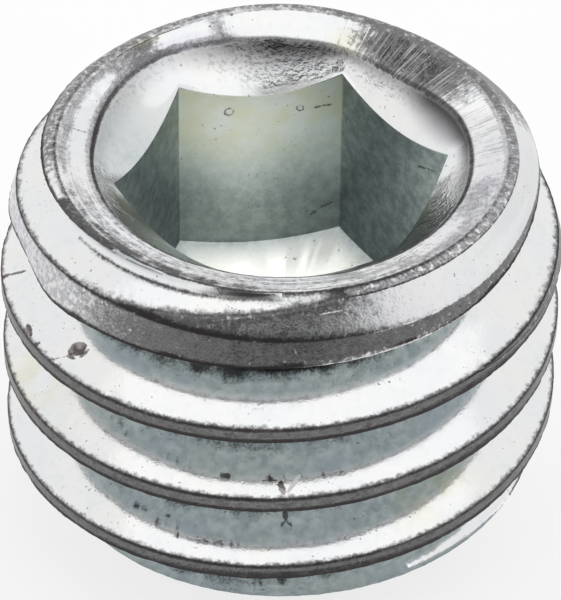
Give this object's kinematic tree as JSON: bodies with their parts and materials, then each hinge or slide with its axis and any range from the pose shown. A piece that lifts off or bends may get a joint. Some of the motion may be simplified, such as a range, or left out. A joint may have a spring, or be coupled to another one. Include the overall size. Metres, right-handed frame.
{
  "type": "grub set screw",
  "caption": "Short headless set screw in zinc-plated steel, with a hexagon socket in one end, a flat point on the other and a coarse right-hand metric thread.",
  "frame": {"origin": "centre of the flat face at the point", "axes": "+Z along the screw's axis, from the point to the socket; -Y towards the viewer"},
  "size_m": [0.0078, 0.0078, 0.006],
  "materials": {
    "zinc_plated_steel": "bright zinc plate, worn to bare grey steel on the crests and the rim"
  },
  "bodies": {
    "root": {"grub_screw": "zinc_plated_steel"}
  },
  "joints": []
}
